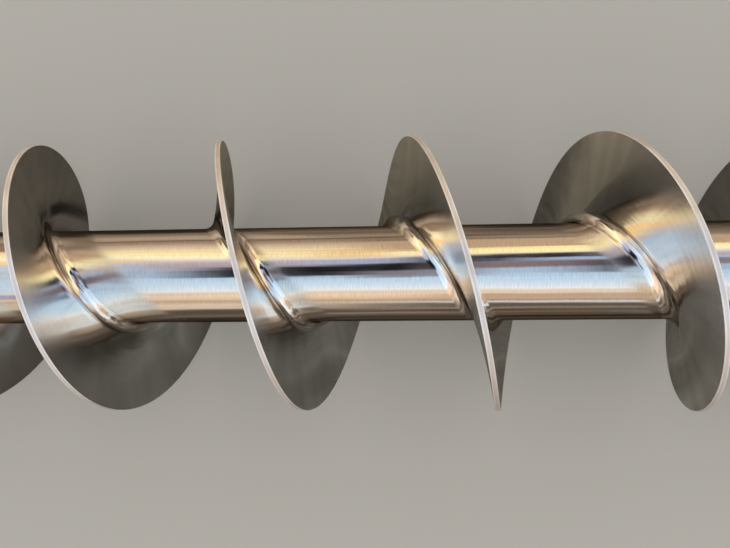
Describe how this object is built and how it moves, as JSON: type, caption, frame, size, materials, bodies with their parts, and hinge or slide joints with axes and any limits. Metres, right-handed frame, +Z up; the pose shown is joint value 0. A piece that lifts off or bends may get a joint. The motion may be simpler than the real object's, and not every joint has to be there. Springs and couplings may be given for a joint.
{
  "type": "screw of a screw conveyor",
  "caption": "Right-hand conveyor screw: hollow centre tube with welded one-pitch flights of stainless sheet, keyed drive shaft and tail journal.",
  "frame": {"origin": "centre of the drive shaft's flat end face, on the screw's axis", "axes": "+X along the screw from the drive end to the tail end, +Z up with the drive key on top, +Y to the left seen from the drive end"},
  "size_m": [0.956, 0.17, 0.17],
  "materials": {
    "polished_tube": "stainless pipe, mirror polished round its girth",
    "flight_sheet": "stainless sheet, satin brushed in circles round the axis",
    "dressed_weld": "stainless weld, ground to a hollow and polished",
    "turned_steel": "stainless bar, fine turned"
  },
  "bodies": {
    "root": {"centre_tube": "polished_tube", "flight_1": "flight_sheet", "flight_2": "flight_sheet", "flight_3": "flight_sheet", "flight_4": "flight_sheet", "flight_5": "flight_sheet", "flight_6": "flight_sheet", "drive_side_weld_1": "dressed_weld", "drive_side_weld_2": "dressed_weld", "drive_side_weld_3": "dressed_weld", "drive_side_weld_4": "dressed_weld", "drive_side_weld_5": "dressed_weld", "drive_side_weld_6": "dressed_weld", "tail_side_weld_1": "dressed_weld", "tail_side_weld_2": "dressed_weld", "tail_side_weld_3": "dressed_weld", "tail_side_weld_4": "dressed_weld", "tail_side_weld_5": "dressed_weld", "tail_side_weld_6": "dressed_weld", "drive_collar": "turned_steel", "tail_collar": "turned_steel", "drive_ring_weld": "dressed_weld", "tail_ring_weld": "dressed_weld", "drive_shaft_weld": "dressed_weld", "tail_shaft_weld": "dressed_weld", "drive_shaft": "turned_steel", "drive_key": "turned_steel", "tail_shaft": "turned_steel"}
  },
  "joints": []
}
